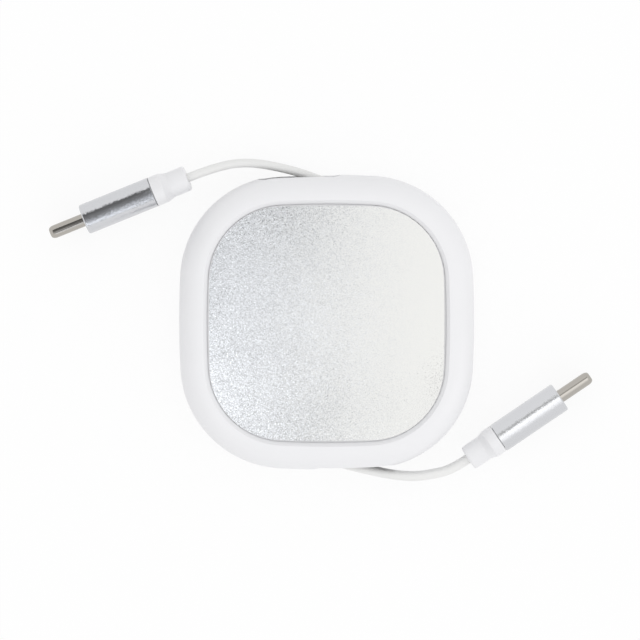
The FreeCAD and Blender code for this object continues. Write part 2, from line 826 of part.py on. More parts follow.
def make_barrel(letter):
    body = new_body("barrel_" + letter)
    outside = sketch_on(body, f"barrel_outline_{letter}", "YZ_Plane", BARREL_FROM)
    add_stadium(outside, size("barrel_width"), size("barrel_height"))
    pad(body, outside, size("barrel_length"))
    dress(body, "Chamfer", f"barrel_mouth_{letter}", size("barrel_chamfer"), square_on(BARREL_TO))
    inside = sketch_on(body, f"barrel_hollow_{letter}", "YZ_Plane", BARREL_FROM)
    walls = size("barrel_wall") * 2
    add_stadium(inside, size("barrel_width") - walls, size("barrel_height") - walls)
    pocket(body, inside, size("barrel_length") - size("barrel_front"), reverse=True)
    opening = sketch_on(body, f"barrel_opening_{letter}", "YZ_Plane", BARREL_TO)
    room = size("nose_clearance") * 2
    add_stadium(opening, size("nose_width") + room, size("nose_height") + room)
    pocket(body, opening, size("barrel_front") * 2)
    return body


def make_collar(letter):
    body = new_body("collar_" + letter)
    ring = sketch_on(body, f"collar_outline_{letter}", "YZ_Plane", COLLAR_FROM)
    add_stadium(ring, size("collar_width"), size("collar_height"))
    pad(body, ring, size("collar_length"))
    boot = sketch_on(body, f"boot_outline_{letter}", "YZ_Plane", size("boot_length"))
    add_stadium(boot, size("boot_width"), size("boot_height"))
    before = volume(body)
    shoulder = body.newObject("PartDesign::AdditiveLoft", f"shoulder_{letter}")
    shoulder.Profile = ring
    shoulder.Sections = [boot]
    shoulder.Ruled = True
    doc.recompute()
    if volume(body) <= before:
        raise RuntimeError(f"{shoulder.Name} adds nothing")
    pad(body, boot, size("boot_length"), reverse=True)
    dress(body, "Fillet", f"boot_edge_{letter}", size("boot_round"), square_on(ZERO))
    spigot = sketch_on(body, f"spigot_outline_{letter}", "YZ_Plane", COLLAR_FROM + size("collar_length"))
    walls = (size("barrel_wall") + size("spigot_clearance")) * 2
    add_stadium(spigot, size("barrel_width") - walls, size("barrel_height") - walls)
    pad(body, spigot, size("collar_gap") + size("spigot_length"))
    return body


def make_nose_shell(letter):
    body = new_body("shell_" + letter)
    outside = sketch_on(body, f"nose_outline_{letter}", "YZ_Plane", NOSE_FROM)
    add_stadium(outside, size("nose_width"), size("nose_height"))
    pad(body, outside, NOSE_TO - NOSE_FROM)
    dress(body, "Fillet", f"nose_tip_{letter}", size("nose_round"), square_on(NOSE_TO))
    inside = sketch_on(body, f"nose_hollow_{letter}", "YZ_Plane", NOSE_FROM)
    walls = size("nose_wall") * 2
    add_stadium(inside, size("nose_width") - walls, size("nose_height") - walls)
    pocket(body, inside, NOSE_TO - size("nose_lip") - NOSE_FROM, reverse=True)
    mouth = sketch_on(body, f"nose_mouth_{letter}", "YZ_Plane", NOSE_TO)
    inset = size("mouth_inset") * 2
    add_stadium(mouth, size("nose_width") - inset, size("nose_height") - inset)
    pocket(body, mouth, size("nose_lip") * 2)
    return body


def make_insulator(letter):
    body = new_body("insulator_" + letter)
    outside = sketch_on(body, f"insulator_outline_{letter}", "YZ_Plane", NOSE_FROM)
    walls = (size("nose_wall") + size("insulator_clearance")) * 2
    add_stadium(outside, size("nose_width") - walls, size("nose_height") - walls)
    pad(body, outside, MOUTH - NOSE_FROM)
    slot = sketch_on(body, f"tongue_slot_{letter}", "YZ_Plane", MOUTH)
    half_width = size("tongue_slot_width") / 2
    half_height = size("tongue_slot_height") / 2
    add_rectangle(slot, -half_width, -half_height, half_width, half_height)
    pocket(body, slot, size("tongue_slot_depth"))
    return body


def make_contacts(letter, placement):
    """Two facing rows of contact springs on the long walls of the slot."""
    count = round(size("contact_count").value)
    pitch = size("contact_pitch").value
    thick = size("contact_thick").value
    width = size("contact_width").value
    length = size("contact_length").value
    start = (MOUTH - size("contact_inset")).value - length
    wall = size("tongue_slot_width").value / 2
    bars = []
    for low_y in (-wall, wall - thick):
        for i in range(count):
            low_z = (i - (count - 1) / 2) * pitch - width / 2
            bars.append(Part.makeBox(length, thick, width, FreeCAD.Vector(start, low_y, low_z)))
    return add_shape("contacts_" + letter, Part.makeCompound(bars), placement)


def make_latch(letter):
    """The fork between the contact rows, whose two arms hold the socket's tongue at its edges."""
    body = new_body("latch_" + letter)
    fork = sketch_on(body, f"latch_fork_{letter}", "XZ_Plane")
    gap = size("latch_clearance")
    outer = size("tongue_slot_height") / 2 - gap
    inner = outer - size("latch_arm")
    back = SLOT_END + gap
    web = back + size("latch_arm") * 2
    front = back + size("latch_length")
    corners = [(back, -outer), (front, -outer), (front, -inner), (web, -inner)]
    corners += [(across, -up) for across, up in reversed(corners)]
    add_polygon(fork, corners)
    pad(body, fork, size("latch_thick"), both=True)
    return body


def make_board(letter):
    body = new_body("board_" + letter)
    low = SPIGOT_TO + size("board_gap")
    high = NOSE_FROM - size("board_gap")
    half = size("board_height") / 2
    outline = sketch_on(body, f"board_outline_{letter}", "XZ_Plane")
    add_rectangle(outline, low, -half, high, half)
    pad(body, outline, size("board_thick"), both=True)
    chip = sketch_on(body, f"chip_outline_{letter}", "XZ_Plane", size("board_thick") / 2)
    middle = (low + high) / 2
    chip_half = size("chip_length") / 2
    chip_up = size("chip_height") / 2
    add_rectangle(chip, middle - chip_half, -chip_up, middle + chip_half, chip_up)
    pad(body, chip, size("chip_thick"))
    return body


def make_plug(letter, route):
    """All pieces of one plug, turned to follow the last run of its cable and rolled on their round edge."""
    (x, y), (before_x, before_y) = route[-1], route[-2]
    heading = math.degrees(math.atan2(y - before_y, x - before_x))
    place = FreeCAD.Vector(x, y, PLUG_MIDDLE.value)
    turn = FreeCAD.Rotation(FreeCAD.Vector(0, 0, 1), heading)
    roll = FreeCAD.Rotation(FreeCAD.Vector(1, 0, 0), size("roll_" + letter).value)
    placement = FreeCAD.Placement(place, turn * roll)
    pieces = [
        make_barrel(letter),
        make_collar(letter),
        make_nose_shell(letter),
        make_insulator(letter),
        make_latch(letter),
        make_board(letter),
    ]
    for piece in pieces:
        piece.Placement = placement
    return pieces + [make_contacts(letter, placement)]


nodes = [
    make_bottom_shell(),
    make_top_shell(),
    make_face_plate(),
    make_plate_adhesive(),
    make_centre_screw(),
    make_ratchet_ball(),
    make_reel_drum(),
    make_reel_cover(),
    make_mainspring(),
    make_wound_cable(),
    make_tail("cable_tail_a", ROUTE_A),
    make_tail("cable_tail_b", ROUTE_B),
    *make_plug("a", ROUTE_A),
    *make_plug("b", ROUTE_B),
]
doc.recompute()

for item in doc.Objects:
    if "Invalid" in item.State or "Error" in item.State:
        raise RuntimeError(f"{item.Label} failed: {item.State}")
for node in nodes:
    if node.Shape.isNull() or not node.Shape.isValid():
        raise RuntimeError(f"{node.Label} has no valid shape")

os.makedirs("parts", exist_ok=True)
for node in nodes:
    node.Shape.exportStep(f"parts/{node.Label}.step")
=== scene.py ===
import json
import math

import bmesh
import bpy
from mathutils import Matrix, Vector


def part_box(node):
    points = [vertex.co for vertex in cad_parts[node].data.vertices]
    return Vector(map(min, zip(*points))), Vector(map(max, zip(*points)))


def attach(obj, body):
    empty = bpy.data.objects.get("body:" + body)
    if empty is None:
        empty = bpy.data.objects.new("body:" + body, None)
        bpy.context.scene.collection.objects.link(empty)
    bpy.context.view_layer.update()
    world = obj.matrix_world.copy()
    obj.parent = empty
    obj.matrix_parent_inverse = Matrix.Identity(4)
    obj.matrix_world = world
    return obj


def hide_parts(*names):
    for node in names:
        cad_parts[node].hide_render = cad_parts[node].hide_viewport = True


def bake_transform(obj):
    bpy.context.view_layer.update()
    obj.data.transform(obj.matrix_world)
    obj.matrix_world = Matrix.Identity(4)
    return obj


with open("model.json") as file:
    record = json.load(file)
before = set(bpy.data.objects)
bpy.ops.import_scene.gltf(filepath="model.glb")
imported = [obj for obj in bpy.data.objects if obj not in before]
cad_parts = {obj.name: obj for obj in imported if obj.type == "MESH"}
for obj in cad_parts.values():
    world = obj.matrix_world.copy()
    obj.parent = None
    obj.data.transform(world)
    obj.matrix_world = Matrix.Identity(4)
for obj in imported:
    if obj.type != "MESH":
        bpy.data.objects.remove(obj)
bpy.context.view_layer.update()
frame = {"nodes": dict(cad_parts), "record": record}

# Looks of a retractable charging cable: a white casing with a blasted plate, a reel of flat cable inside,
# and a plug on each of the cable's two short tails. Lengths are in metres, and MM turns millimetres into
# them. What the CAD gives is read from the frame, and the rest is named beside the piece that it shapes.

MM = 0.001
UP = Vector((0, 0, 1))
RIGHT = Vector((1, 0, 0))
SQUARE = ((-1, -1), (1, -1), (1, 1), (-1, 1))
WHITE = "#FFFFFF"

# The flat cable, and the points of its two tails in millimetres, from the coil to the end of
# each boot
CABLE_THICK = 1.6 * MM
CABLE_WIDE = 3.9 * MM
ROUTES = {
    "a": [
        (11.20, 19.25),
        (5.86, 22.59),
        (0.03, 25.69),
        (-6.78, 28.03),
        (-14.55, 29.43),
        (-20.65, 28.36),
        (-25.45, 26.42),
    ],
    "b": [
        (-10.53, -19.66),
        (-5.16, -22.76),
        (0.71, -25.56),
        (7.58, -27.34),
        (15.00, -28.70),
        (20.30, -28.00),
        (23.40, -27.04),
        (26.05, -25.24),
    ],
}
# The point of each route that lies in the casing's outlet
OUTLET_POINT = 2

# The casing's outline: a square with bowed sides and round corners, given by their radii
CASING_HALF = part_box("top_shell")[1].x
SIDE_BOW = 181.0 * MM
CORNER_ROUND = 19.2 * MM

# Corners closer than this are one corner, and edges that turn by more than this stay sharp
MERGE_DISTANCE = 0.002 * MM
SHARP_ANGLE = math.radians(35)

# How many straight steps stand for each round stretch
OUTLINE_STEPS = 12
CABLE_STEPS = 10
PLUG_STEPS = 14
EDGE_STEPS = 4
BOOT_STEPS = 6
NOSE_STEPS = 10
DOME_STEPS = 24
SPLINE_STEPS = 16


# Mesh helpers
def add_object(name, mesh, material):
    """An object of the scene with one material."""
    piece = bpy.data.objects.new(name, mesh)
    bpy.context.scene.collection.objects.link(piece)
    mesh.materials.clear()
    mesh.materials.append(material)
    return piece


def bake(piece):
    """Turns a piece's modifiers into its mesh."""
    bpy.context.view_layer.update()
    seen = piece.evaluated_get(bpy.context.evaluated_depsgraph_get())
    mesh = bpy.data.meshes.new_from_object(seen)
    piece.modifiers.clear()
    piece.data = mesh


def smooth_piece(name, mesh, material):
    """A piece that is shaded smoothly up to its sharp edges, with even flats."""
    mesh.shade_smooth()
    mesh.set_sharp_from_angle(angle=SHARP_ANGLE)
    piece = add_object(name, mesh, material)
    even = piece.modifiers.new("even_flats", "WEIGHTED_NORMAL")
    even.keep_sharp = True
    bake(piece)
    return piece


def solid_copy(node, name, material):
    """A joined and smoothly shaded copy of a CAD node's loose triangles."""
    work = bmesh.new()
    work.from_mesh(frame["nodes"][node].data)
    bmesh.ops.remove_doubles(work, verts=work.verts, dist=MERGE_DISTANCE)
    bmesh.ops.dissolve_degenerate(work, edges=work.edges, dist=MERGE_DISTANCE)
    work.verts.index_update()
    points = [vertex.co.copy() for vertex in work.verts]
    faces = [[vertex.index for vertex in face.verts] for face in work.faces]
    work.free()
    mesh = bpy.data.meshes.new(name)
    mesh.from_pydata(points, [], faces)
    return smooth_piece(name, mesh, material)


def loft(name, rings, material, closed=False):
    """A skin over rings of equally many points. Its ends are capped, or joined together if closed."""
    count = len(rings[0])
    faces = []
    for i in range(len(rings) if closed else len(rings) - 1):
        here = i * count
        ahead = (i + 1) % len(rings) * count
        for k in range(count):
            beside = (k + 1) % count
            faces.append((here + k, here + beside, ahead + beside, ahead + k))
    if not closed:
        last = (len(rings) - 1) * count
        faces.append(tuple(range(count)))
        faces.append(tuple(range(last, last + count)))
    mesh = bpy.data.meshes.new(name)
    mesh.from_pydata([point for ring in rings for point in ring], [], faces)
    work = bmesh.new()
    work.from_mesh(mesh)
    bmesh.ops.recalc_face_normals(work, faces=work.faces)
    work.to_mesh(mesh)
    work.free()
    return smooth_piece(name, mesh, material)


def flat_sheet(name, middle, along, across):
    """A four-cornered sheet: along and across reach from its middle to its edges."""
    mesh = bpy.data.meshes.new(name)
    mesh.from_pydata([middle + along * s + across * t for s, t in SQUARE], [], [(0, 1, 2, 3)])
    return mesh


def arc(middle, radius, start, end, steps):
    """Points on an arc in the plane, both ends included."""
    angles = [start + (end - start) * i / steps for i in range(steps + 1)]
    return [(middle[0] + radius * math.cos(a), middle[1] + radius * math.sin(a)) for a in angles]


def stadium(half_wide, half_tall, steps):
    """An upright slot shape in the plane."""
    middle = half_tall - half_wide
    top = arc((0, middle), half_wide, 0, math.pi, steps)
    return top + arc((0, -middle), half_wide, math.pi, 2 * math.pi, steps)


def casing_outline(inset):
    """The casing's outline moved inwards by inset, in the plane: a side and a corner for each quarter."""
    shift = SIDE_BOW - CASING_HALF
    apart = SIDE_BOW - CORNER_ROUND
    middle = (math.sqrt(2 * apart**2 - shift**2) - shift) / 2
    lean = math.atan2(middle, middle + shift)
    points = []
    for quarter in range(4):
        turn = quarter * math.pi / 2
        side = (-shift * math.cos(turn), -shift * math.sin(turn))
        points += arc(side, SIDE_BOW - inset, turn - lean, turn + lean, OUTLINE_STEPS)[:-1]
        diagonal = turn + math.pi / 4
        away = middle * math.sqrt(2)
        corner = (away * math.cos(diagonal), away * math.sin(diagonal))
        end = turn + math.pi / 2 - lean
        points += arc(corner, CORNER_ROUND - inset, turn + lean, end, OUTLINE_STEPS)[:-1]
    return points


def reach(node, direction):
    """How far a CAD node lies along a direction: its lowest and highest place."""
    places = [vertex.co.dot(direction) for vertex in frame["nodes"][node].data.vertices]
    return min(places), max(places)


# Material helpers
def colour(text):
    """A linear colour from an sRGB hex value."""
    shares = [int(text[i : i + 2], 16) / 255 for i in (1, 3, 5)]
    linear = [s / 12.92 if s <= 0.04045 else ((s + 0.055) / 1.055) ** 2.4 for s in shares]
    return (*linear, 1.0)


def add(tree, kind, inputs=None, **settings):
    """Adds a node. Settings are its properties, and inputs holds a value or a socket for each input."""
    node = tree.nodes.new(kind)
    for name, value in settings.items():
        setattr(node, name, value)
    for name, value in (inputs or {}).items():
        if isinstance(value, bpy.types.NodeSocket):
            tree.links.new(value, node.inputs[name])
        else:
            node.inputs[name].default_value = value
    return node


def start_material(name):
    """A material with an empty node tree, and the tree."""
    material = bpy.data.materials.new(name)
    material.use_nodes = True
    material.node_tree.nodes.clear()
    return material, material.node_tree


def finish_material(tree, shader):
    """Shows a shader on the surface."""
    add(tree, "ShaderNodeOutputMaterial", {"Surface": shader.outputs[0]})


def per_metre(size_mm):
    """A texture scale that gives features of a size in millimetres."""
    return 1 / (size_mm * MM)


# Plastic: the width of its flow marks in millimetres, how much its gloss varies, and its IOR
FLOW_MM = 9
FLOW_DETAIL = 2
GRAIN_DETAIL = 3
GLOSS_SPREAD = 0.05
PLASTIC_IOR = 1.5


def grained_plastic(name, tone, shadow, roughness, grain_mm, depth_mm):
    """Plastic: a nearly even colour with faint flow marks, and a fine grain."""
    material, tree = start_material(name)
    place = add(tree, "ShaderNodeTexCoord").outputs["Object"]
    flow = add(
        tree,
        "ShaderNodeTexNoise",
        {"Vector": place, "Scale": per_metre(FLOW_MM), "Detail": FLOW_DETAIL},
    )
    tint = add(
        tree,
        "ShaderNodeMixRGB",
        {"Fac": flow.outputs["Fac"], "Color1": colour(shadow), "Color2": colour(tone)},
    )
    grain = add(
        tree,
        "ShaderNodeTexNoise",
        {"Vector": place, "Scale": per_metre(grain_mm), "Detail": GRAIN_DETAIL},
    )
    bump = add(
        tree,
        "ShaderNodeBump",
        {"Height": grain.outputs["Fac"], "Strength": 1.0, "Distance": depth_mm * MM},
    )
    rough = add(
        tree,
        "ShaderNodeMapRange",
        {
            "Value": grain.outputs["Fac"],
            "To Min": roughness - GLOSS_SPREAD,
            "To Max": roughness + GLOSS_SPREAD,
        },
    )
    shader = add(
        tree,
        "ShaderNodeBsdfPrincipled",
        {
            "Base Color": tint.outputs[0],
            "Roughness": rough.outputs[0],
            "Normal": bump.outputs[0],
            "IOR": PLASTIC_IOR,
        },
    )
    finish_material(tree, shader)
    return material


def dented_metal(name, tone, roughness, dent_mm, tilt):
    """Metal with small dents, each tilted its own way, which sparkle where the light is uneven."""
    material, tree = start_material(name)
    place = add(tree, "ShaderNodeTexCoord").outputs["Object"]
    dents = add(
        tree,
        "ShaderNodeTexVoronoi",
        {"Vector": place, "Scale": per_metre(dent_mm)},
        feature="F1",
    )
    lean = add(
        tree,
        "ShaderNodeVectorMath",
        {0: dents.outputs["Color"], 1: (0.5, 0.5, 0.5)},
        operation="SUBTRACT",
    )
    facing = add(tree, "ShaderNodeNewGeometry").outputs["Normal"]
    tilted = add(
        tree,
        "ShaderNodeVectorMath",
        {0: lean.outputs[0], 1: (tilt, tilt, tilt), 2: facing},
        operation="MULTIPLY_ADD",
    )
    normal = add(tree, "ShaderNodeVectorMath", {0: tilted.outputs[0]}, operation="NORMALIZE")
    shader = add(
        tree,
        "ShaderNodeBsdfPrincipled",
        {
            "Base Color": colour(tone),
            "Metallic": 1.0,
            "Roughness": roughness,
            "Normal": normal.outputs[0],
        },
    )
    finish_material(tree, shader)
    return material


# Plastics. The grain that a mould or a die leaves is finer than 0.1 mm. It is drawn coarser than real, at
# 0.3 mm to 0.5 mm, so that it shows.
# ABS from a finely eroded mould: an even white with soft, broad highlights
WHITE_ABS = grained_plastic(
    "white_abs_satin_moulded", "#EFEFF1", "#ECECEE", roughness=0.4, grain_mm=0.3, depth_mm=0.001
)
# PVC from a smoother mould: nearly the same white, with a tighter highlight along each edge
WHITE_COLLAR = grained_plastic(
    "white_pvc_gloss_moulded", "#ECECEE", "#E9E9EB", roughness=0.3, grain_mm=0.4, depth_mm=0.001
)
# Extruded TPE: a warmer, duller white, with the slight waviness of a soft skin
JACKET = grained_plastic(
    "white_tpe_extruded", "#ECECEB", "#E8E8E7", roughness=0.45, grain_mm=0.3, depth_mm=0.002
)
# Undyed acetal: a waxy, faintly yellow off-white
ACETAL = grained_plastic(
    "natural_acetal_moulded", "#E6E4DE", "#DEDCD5", roughness=0.45, grain_mm=0.4, depth_mm=0.001
)
# Glass-filled LCP: a dull, near-black body inside the nose
BLACK_LCP = grained_plastic(
    "black_lcp_moulded", "#1A1A1B", "#141415", roughness=0.5, grain_mm=0.3, depth_mm=0.002
)
# Solder mask over FR4: a dark green with a smooth, lacquered shine
BOARD = grained_plastic(
    "green_fr4_solder_mask", "#1D5B3A", "#174C30", roughness=0.35, grain_mm=0.5, depth_mm=0.001
)
# Acrylic adhesive between two faces: a dull, greyish film
ADHESIVE = grained_plastic(
    "acrylic_adhesive_coated", "#C9C8BE", "#BDBCB2", roughness=0.6, grain_mm=0.5, depth_mm=0.002
)

# Metals. Blasting leaves dents of about 0.05 mm. They are drawn coarser than real, at 0.1 mm and 0.12 mm,
# so that their sparkle shows. On the other metals wider and flatter dents give the slight waviness of a
# worked surface.
# Blasted and anodised aluminium: a pale silver that glitters in fine points and reflects no clear picture
PLATE_METAL = dented_metal(
    "anodised_aluminium_bead_blasted", "#E7E7E7", roughness=0.16, dent_mm=0.1, tilt=0.36
)
# The same with a lighter blast: long dark and bright bands along the barrel, with frayed edges
BARREL_METAL = dented_metal(
    "anodised_aluminium_fine_blasted", "#D1D2D5", roughness=0.14, dent_mm=0.12, tilt=0.15
)
# Nickel on drawn steel: a warm grey mirror with crisp lines along the nose
NICKEL = dented_metal("nickel_plated_steel_drawn", "#B3AFA9", roughness=0.1, dent_mm=0.3, tilt=0.01)
# Rolled and blued spring strip: a dark, bluish grey with a soft sheen
SPRING_STEEL = dented_metal("blued_spring_steel_rolled", "#6E7278", roughness=0.3, dent_mm=0.3, tilt=0.02)
# Stamped stainless strip: a neutral grey with a soft sheen
LATCH_STEEL = dented_metal("stainless_steel_stamped", "#B4B5B6", roughness=0.25, dent_mm=0.3, tilt=0.02)
# Ground chrome steel: the brightest of the steels, almost a mirror
BALL_STEEL = dented_metal("chrome_steel_ground", "#C4C6C9", roughness=0.12, dent_mm=0.3, tilt=0.01)
# Zinc on turned steel: a bluish grey with a broken sheen
SCREW_STEEL = dented_metal("zinc_plated_steel_turned", "#A9ABAF", roughness=0.3, dent_mm=0.3, tilt=0.03)
# Gold on contact bronze: a deep yellow shine in the dark of the mouth
GOLD = dented_metal("gold_plated_contact_bronze", "#E2B75F", roughness=0.22, dent_mm=0.3, tilt=0.02)


# Cable tails
CABLE_HEIGHT = sum(reach("cable_tail_a", UP)) / 2


def spline_line(name, route):
    """Points along the smooth line that a tail's route guides, read from a spline with no thickness."""
    curve = bpy.data.curves.new(name, "CURVE")
    curve.dimensions = "3D"
    curve.resolution_u = SPLINE_STEPS
    spline = curve.splines.new("NURBS")
    spline.points.add(len(route) - 1)
    for point, (x, y) in zip(spline.points, route):
        point.co = (x * MM, y * MM, CABLE_HEIGHT, 1)
    spline.order_u = 3
    spline.use_endpoint_u = True
    guide = bpy.data.objects.new(name, curve)
    bpy.context.scene.collection.objects.link(guide)
    bpy.context.view_layer.update()
    mesh = bpy.data.meshes.new_from_object(guide)
    line = [vertex.co.copy() for vertex in mesh.vertices]
    bpy.data.meshes.remove(mesh)
    bpy.data.objects.remove(guide)
    bpy.data.curves.remove(curve)
    return line


def make_tail(letter):
    """A tail's flat jacket, standing on its narrow edge, and the line that it follows."""
    line = spline_line(f"tail_guide_{letter}", ROUTES[letter])
    section = stadium(CABLE_THICK / 2, CABLE_WIDE / 2, CABLE_STEPS)
    rings = []
    for i, point in enumerate(line):
        ahead = line[min(i + 1, len(line) - 1)] - line[max(i - 1, 0)]
        across = UP.cross(ahead).normalized()
        rings.append([point + across * v + UP * w for v, w in section])
    return loft(f"tail_jacket_{letter}", rings, JACKET), line


# Plugs, and how far each has rolled on its round edge
ROLLS = {"a": math.radians(0), "b": math.radians(5.5)}


class Plug:
    """One plug's own directions: along its axis to the nose, across it, and up."""

    def __init__(self, letter):
        self.letter = letter
        mounts = {mount["name"]: mount for mount in frame["record"]["mounts"]}
        self.axis = Vector(mounts[f"plug_{letter}_nose"]["axis"]).normalized()
        level = UP.cross(self.axis)
        roll = ROLLS[letter]
        self.across = level * math.cos(roll) - UP * math.sin(roll)
        self.up = UP * math.cos(roll) + level * math.sin(roll)
        self.offset = sum(reach(f"barrel_{letter}", self.across)) / 2
        self.height = sum(reach(f"barrel_{letter}", self.up)) / 2

    def point(self, along, sideways, upwards):
        """A place by its distance along the axis and from it."""
        aside = self.across * (self.offset + sideways)
        return self.axis * along + aside + self.up * (self.height + upwards)

    def ring(self, along, half_wide, half_tall):
        """A slot-shaped ring square to the axis."""
        return [self.point(along, v, w) for v, w in stadium(half_wide, half_tall, PLUG_STEPS)]

    def halves(self, node):
        """A piece's half width and half height."""
        low, high = reach(node, self.across)
        bottom, top = reach(node, self.up)
        return (high - low) / 2, (top - bottom) / 2


def rounded_rings(plug, along, half_wide, half_tall, length, depth, front, steps=EDGE_STEPS):
    """Rings over a rounded edge at one end of a slot-shaped piece, in order along the axis."""
    rings = []
    for i in range(steps + 1):
        lean = math.pi / 2 * i / steps
        back = length * (1 - math.cos(lean))
        inset = depth * (1 - math.sin(lean))
        place = along - back if front else along + back
        rings.append(plug.ring(place, half_wide - inset, half_tall - inset))
    return rings[::-1] if front else rings


BARREL_WALL = 0.55 * MM
BARREL_FRONT = 0.8 * MM
BARREL_CHAMFER = 0.2 * MM
BARREL_BACK_EDGE = 0.06 * MM
NOSE_GAP = 0.05 * MM


def make_barrel(plug):
    """The barrel's sleeve: open at the back, with a front wall that the nose comes through."""
    node = f"barrel_{plug.letter}"
    back, front = reach(node, plug.axis)
    wide, tall = plug.halves(node)
    nose_wide, nose_tall = plug.halves(f"shell_{plug.letter}")
    hole_wide = nose_wide + NOSE_GAP
    hole_tall = nose_tall + NOSE_GAP
    rings = rounded_rings(plug, back, wide, tall, BARREL_BACK_EDGE, BARREL_BACK_EDGE, False)
    rings.append(plug.ring(front - BARREL_CHAMFER, wide, tall))
    rings.append(plug.ring(front, wide - BARREL_CHAMFER, tall - BARREL_CHAMFER))
    rings.append(plug.ring(front, hole_wide, hole_tall))
    rings.append(plug.ring(front - BARREL_FRONT, hole_wide, hole_tall))
    rings.append(plug.ring(front - BARREL_FRONT, wide - BARREL_WALL, tall - BARREL_WALL))
    rings.append(plug.ring(back, wide - BARREL_WALL, tall - BARREL_WALL))
    return loft(f"sleeve_{plug.letter}", rings, BARREL_METAL, closed=True)


BOOT_LENGTH = 3.4 * MM
BOOT_HALF_WIDE = 2.35 * MM
BOOT_HALF_TALL = 3.7 * MM
BOOT_ROUND = 0.5 * MM
SHOULDER_LENGTH = 1.4 * MM
SHOULDER_STEPS = 8
# How hollow the shoulder is: 1 is a straight cone
SHOULDER_HOLLOW = 1.5
COLLAR_GAP = 0.1 * MM
COLLAR_EDGE = 0.12 * MM
SPIGOT_CLEARANCE = 0.05 * MM


def make_collar(plug):
    """One moulded piece: the boot, its shoulder, the collar behind the barrel and the spigot inside it."""
    node = f"collar_{plug.letter}"
    back, front = reach(node, plug.axis)
    wide, tall = plug.halves(node)
    barrel = f"barrel_{plug.letter}"
    collar_front = reach(barrel, plug.axis)[0] - COLLAR_GAP
    spigot_wide, spigot_tall = (half - BARREL_WALL - SPIGOT_CLEARANCE for half in plug.halves(barrel))
    rings = rounded_rings(
        plug, back, BOOT_HALF_WIDE, BOOT_HALF_TALL, BOOT_ROUND, BOOT_ROUND, False, BOOT_STEPS
    )
    for step in range(SHOULDER_STEPS):
        share = step / SHOULDER_STEPS
        growth = share**SHOULDER_HOLLOW
        half_wide = BOOT_HALF_WIDE + (wide - BOOT_HALF_WIDE) * growth
        half_tall = BOOT_HALF_TALL + (tall - BOOT_HALF_TALL) * growth
        rings.append(plug.ring(back + BOOT_LENGTH + SHOULDER_LENGTH * share, half_wide, half_tall))
    collar_back = back + BOOT_LENGTH + SHOULDER_LENGTH
    rings += rounded_rings(plug, collar_back, wide, tall, COLLAR_EDGE, COLLAR_EDGE / 2, False)[1:]
    rings += rounded_rings(plug, collar_front, wide, tall, COLLAR_EDGE, COLLAR_EDGE, True)
    rings.append(plug.ring(collar_front, spigot_wide, spigot_tall))
    rings.append(plug.ring(front, spigot_wide, spigot_tall))
    return loft(f"moulded_collar_{plug.letter}", rings, WHITE_COLLAR)


NOSE_WALL = 0.3 * MM
NOSE_ROUND = 1.0 * MM
NOSE_LIP = 0.3 * MM
MOUTH_INSET = 0.55 * MM


def make_nose(plug):
    """The nose's tube, whose rim curls inwards round the mouth."""
    node = f"shell_{plug.letter}"
    back, front = reach(node, plug.axis)
    wide, tall = plug.halves(node)
    rings = [plug.ring(back, wide, tall)]
    rings += rounded_rings(plug, front, wide, tall, NOSE_ROUND, MOUTH_INSET, True, NOSE_STEPS)
    rings.append(plug.ring(front - NOSE_LIP, wide - MOUTH_INSET, tall - MOUTH_INSET))
    rings.append(plug.ring(front - NOSE_LIP, wide - NOSE_WALL, tall - NOSE_WALL))
    rings.append(plug.ring(back, wide - NOSE_WALL, tall - NOSE_WALL))
    return loft(f"nose_{plug.letter}", rings, NICKEL, closed=True)


CONTACT_COUNT = 12
CONTACT_PITCH = 0.5 * MM
CONTACT_WIDTH = 0.26 * MM
CONTACT_THICK = 0.1 * MM
# How much of a contact's section is left at its tip
CONTACT_TIP = 0.6


def make_contacts(plug):
    """Two facing rows of contact springs: one facing pair is drawn, and nodes repeat it upwards."""
    node = f"contacts_{plug.letter}"
    back, front = reach(node, plug.axis)
    wide, _ = plug.halves(node)
    mesh = bpy.data.meshes.new(node)
    work = bmesh.new()
    for side in (-1, 1):
        middle = side * (wide - CONTACT_THICK / 2)
        rings = []
        for along, share in ((back, 1.0), (front - CONTACT_WIDTH, 1.0), (front, CONTACT_TIP)):
            half_wide = CONTACT_THICK / 2 * share
            half_tall = CONTACT_WIDTH / 2 * share
            corners = [plug.point(along, middle + half_wide * s, half_tall * t) for s, t in SQUARE]
            rings.append([work.verts.new(corner) for corner in corners])
        for ring, ahead in zip(rings, rings[1:]):
            for k in range(len(SQUARE)):
                beside = (k + 1) % len(SQUARE)
                work.faces.new((ring[k], ring[beside], ahead[beside], ahead[k]))
        work.faces.new(rings[0])
        work.faces.new(rings[-1])
    bmesh.ops.recalc_face_normals(work, faces=work.faces)
    work.to_mesh(mesh)
    work.free()
    piece = add_object(f"contact_rows_{plug.letter}", mesh, GOLD)
    repeat_upwards(piece, CONTACT_COUNT, CONTACT_PITCH, GOLD)
    return piece


